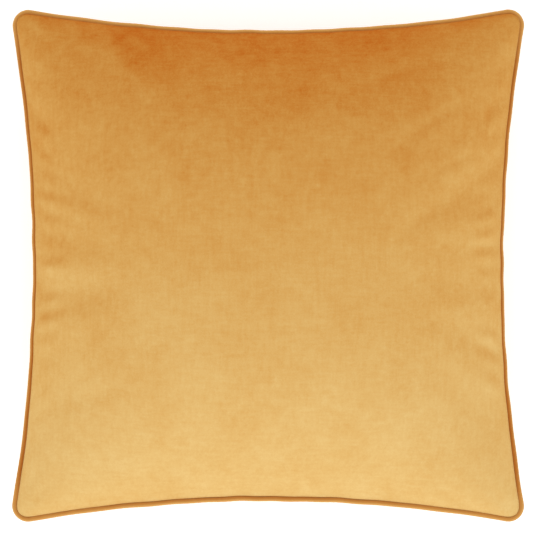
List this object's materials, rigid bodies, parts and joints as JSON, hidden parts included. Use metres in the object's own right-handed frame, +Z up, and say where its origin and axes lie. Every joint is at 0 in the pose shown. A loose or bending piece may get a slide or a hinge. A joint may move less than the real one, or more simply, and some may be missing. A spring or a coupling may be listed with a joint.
{
  "type": "throw pillow",
  "caption": "Square piped velvet throw pillow with a concealed zip in one edge seam and a stuffed inner pad.",
  "frame": {"origin": "on the surface that the pillow lies on, under the middle of its bounding box", "axes": "+Z up through the front panel, +X and +Y along two sides of the pillow; the zipped side faces -Y"},
  "size_m": [0.45, 0.45, 0.146],
  "materials": {
    "velvet": "short-pile amber velvet, brushed",
    "velvet_piping": "amber velvet strip wrapped on the bias",
    "cotton_cord": "soft twisted cotton",
    "thread": "polyester sewing thread",
    "label": "blank woven satin tape",
    "zip_tape": "fine woven polyester",
    "zip_coil": "dyed nylon",
    "zip_metal": "enamelled zinc, colour-matched",
    "pad_cloth": "plain white cotton cambric",
    "pad_thread": "white sewing thread",
    "fibre_fill": "lofty polyester fibre"
  },
  "bodies": {
    "cover": {"front_panel": "velvet", "back_panel": "velvet", "piping_sleeve": "velvet_piping", "piping_cord": "cotton_cord", "cover_seam_stitching": "thread", "overlock_stitching": "thread", "care_label": "label", "zip_tape_front": "zip_tape", "zip_tape_back": "zip_tape", "zip_coil_front": "zip_coil", "zip_coil_back": "zip_coil", "zip_top_stops": "zip_metal", "zip_bottom_stop": "zip_metal", "zip_stitching_front": "thread", "zip_stitching_back": "thread", "pad_case_front": "pad_cloth", "pad_case_back": "pad_cloth", "pad_filling": "fibre_fill", "pad_seam_stitching": "pad_thread", "pad_closing_stitches": "pad_thread", "pad_label": "label"},
    "slider": {"zip_slider": "zip_metal"},
    "pull": {"zip_pull": "zip_metal"}
  },
  "joints": [
    {"name": "zip_slide", "type": "hinge", "parent": "cover", "child": "slider", "pos_m": [0, -1.43869, 0.064], "axis": [0, 0, 1], "range_deg": [0, 15.44]},
    {"name": "pull_swing", "type": "hinge", "parent": "slider", "child": "pull", "pos_m": [0.16693, -0.21506, 0.062], "axis": [0, 0, 1], "range_deg": [0, 180]}
  ]
}
